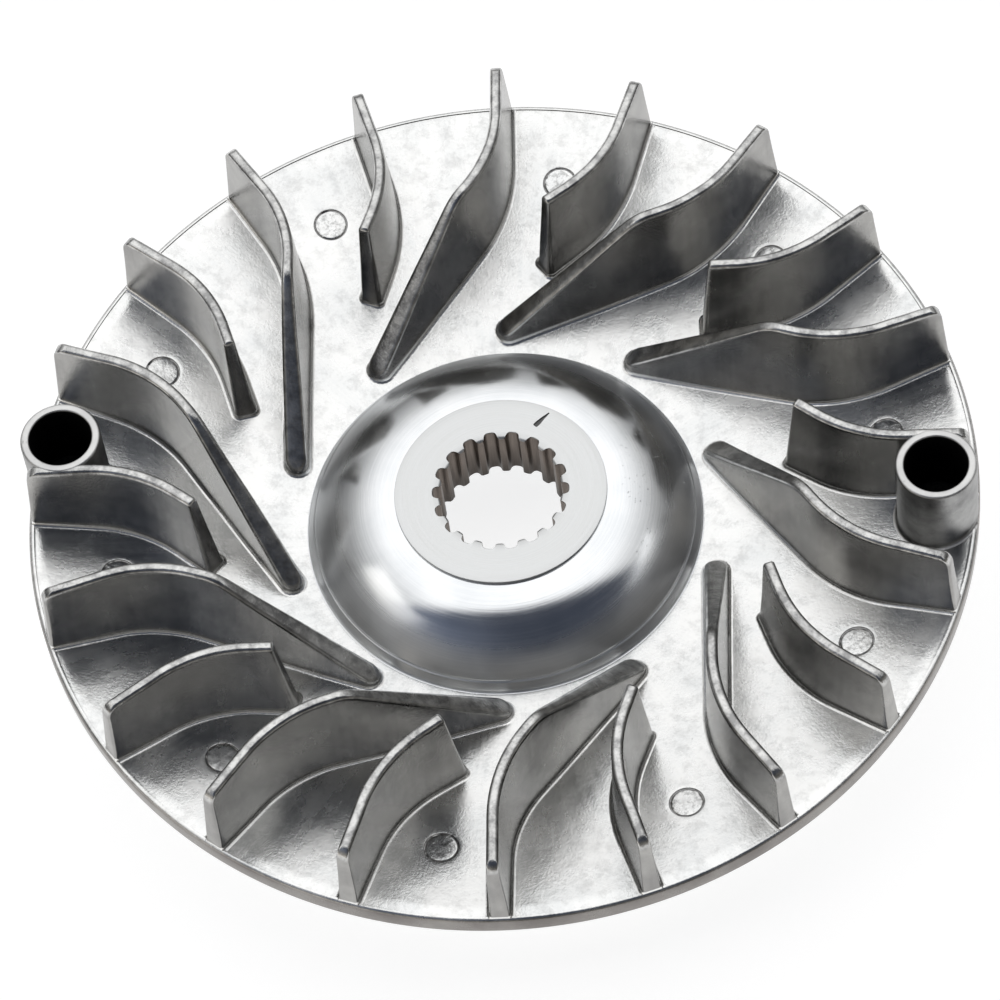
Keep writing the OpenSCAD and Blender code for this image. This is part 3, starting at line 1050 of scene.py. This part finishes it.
def make_camera():
    spin = Matrix.Rotation(VIEW_TURN, 3, "Z")
    back = spin @ Vector((0, -math.cos(VIEW_RISE), math.sin(VIEW_RISE)))
    right = spin @ Vector((1, 0, 0))
    up = back.cross(right)
    across = math.cos(VIEW_ROLL) * right + math.sin(VIEW_ROLL) * up
    upward = math.cos(VIEW_ROLL) * up - math.sin(VIEW_ROLL) * right
    centre = Vector((0, 0, rim_top))
    place = centre + back * VIEW_DISTANCE - across * VIEW_ASIDE[0] - upward * VIEW_ASIDE[1]
    data = bpy.data.cameras.new("camera")
    data.sensor_width = 36
    data.lens = LENS
    data.clip_start, data.clip_end = 0.01, 20
    camera = bpy.data.objects.new("camera", data)
    turn = Matrix((across, upward, back)).transposed()
    camera.matrix_world = Matrix.Translation(place * MM) @ turn.to_4x4()
    bpy.context.scene.collection.objects.link(camera)
    bpy.context.scene.camera = camera


def make_floor():
    """A pale table with a light of its own, so that it stays pale under the part."""
    size = 4000
    points = [(-size, -size, 0), (size, -size, 0), (size, size, 0), (-size, size, 0)]
    floor = make_piece("floor", points, [(0, 1, 2, 3)])
    n = Skin("pale_table")
    n.shader.inputs["Roughness"].default_value = 0.9
    tone = n.ramp(n.noise(60, detail=2), [(0.3, 0.4), (0.7, 0.42)])
    n.link(tone, n.shader.inputs["Base Color"])
    n.shader.inputs["Emission Color"].default_value = (1, 1, 1, 1)
    n.shader.inputs["Emission Strength"].default_value = TABLE_GLOW
    floor.data.materials.append(n.material)


def make_world():
    """A room: white overhead, darker low down and at the sides, with a dark front.

    The front has a bright strip low down, and is darkest towards the right.
    """
    world = bpy.data.worlds.new("studio")
    bpy.context.scene.world = world
    n = Nodes(world, "Generated")
    spin = Matrix.Rotation(VIEW_TURN, 3, "Z")

    def towards(*direction):
        """How far a place on the sky lies that way, as the camera's turn has it."""
        return n.towards((spin @ Vector(direction)).normalized())

    sky = n.ramp(towards(0, 0.25, 1), [
        (0.0, (0.09, 0.088, 0.085)), (0.27, (0.13, 0.13, 0.127)), (0.4, 0.28), (0.5, 0.36),
        (0.62, (0.52, 0.52, 0.515)), (0.74, 0.79), (0.9, 1.0), (1.0, 1.0),
    ])
    sides = n.ramp(n.math("ABSOLUTE", towards(1, 0, 0)), [
        (0.0, 1.0), (0.34, 1.0), (0.65, 0.68), (0.95, 0.5),
    ])
    front = n.ramp(towards(0, 0, 1), [
        (0.0, (1, 0.98, 0.95)), (0.13, (0.95, 0.92, 0.88)), (0.2, (0.4, 0.37, 0.33)),
        (0.36, (0.3, 0.285, 0.26)), (0.6, (0.17, 0.172, 0.18)), (0.74, (0.112, 0.13, 0.175)),
        (1.0, (0.112, 0.13, 0.175)),
    ])
    leftward = n.ramp(towards(-1, 0, 0), [(0.0, 0.36), (0.15, 0.42), (0.55, 1.0)])
    in_front = n.ramp(towards(0, -1, 0), [(0.0, 0.0), (0.09, 1.0)])
    sky = n.mix(1.0, sky, sides, "MULTIPLY")
    front = n.mix(1.0, front, leftward, "MULTIPLY")
    background = n.tree.nodes["Background"]
    n.link(n.mix(in_front, sky, front), background.inputs["Color"])
    background.inputs["Strength"].default_value = ROOM_LIGHT


def area_light(name, place, aim, size, power, colour):
    data = bpy.data.lights.new(name, "AREA")
    data.shape = "RECTANGLE"
    data.size, data.size_y = size
    data.energy = power
    data.color = colour
    light = bpy.data.objects.new(name, data)
    light.location = place
    light.rotation_mode = "QUATERNION"
    light.rotation_quaternion = (Vector(aim) - Vector(place)).to_track_quat("-Z", "Y")
    bpy.context.scene.collection.objects.link(light)


make_floor()
make_world()
make_camera()
area_light("left_softbox", (-0.69, -0.16, 0.7), (0, 0, 0), (0.5, 0.3), 0.34, (1, 0.97, 0.92))
area_light("right_softbox", (0.74, 0.13, 0.66), (0, 0, 0), (0.4, 0.14), 0.13, (1, 1, 1))

view = bpy.context.scene.view_settings
view.view_transform = "Standard"
view.look = "None"
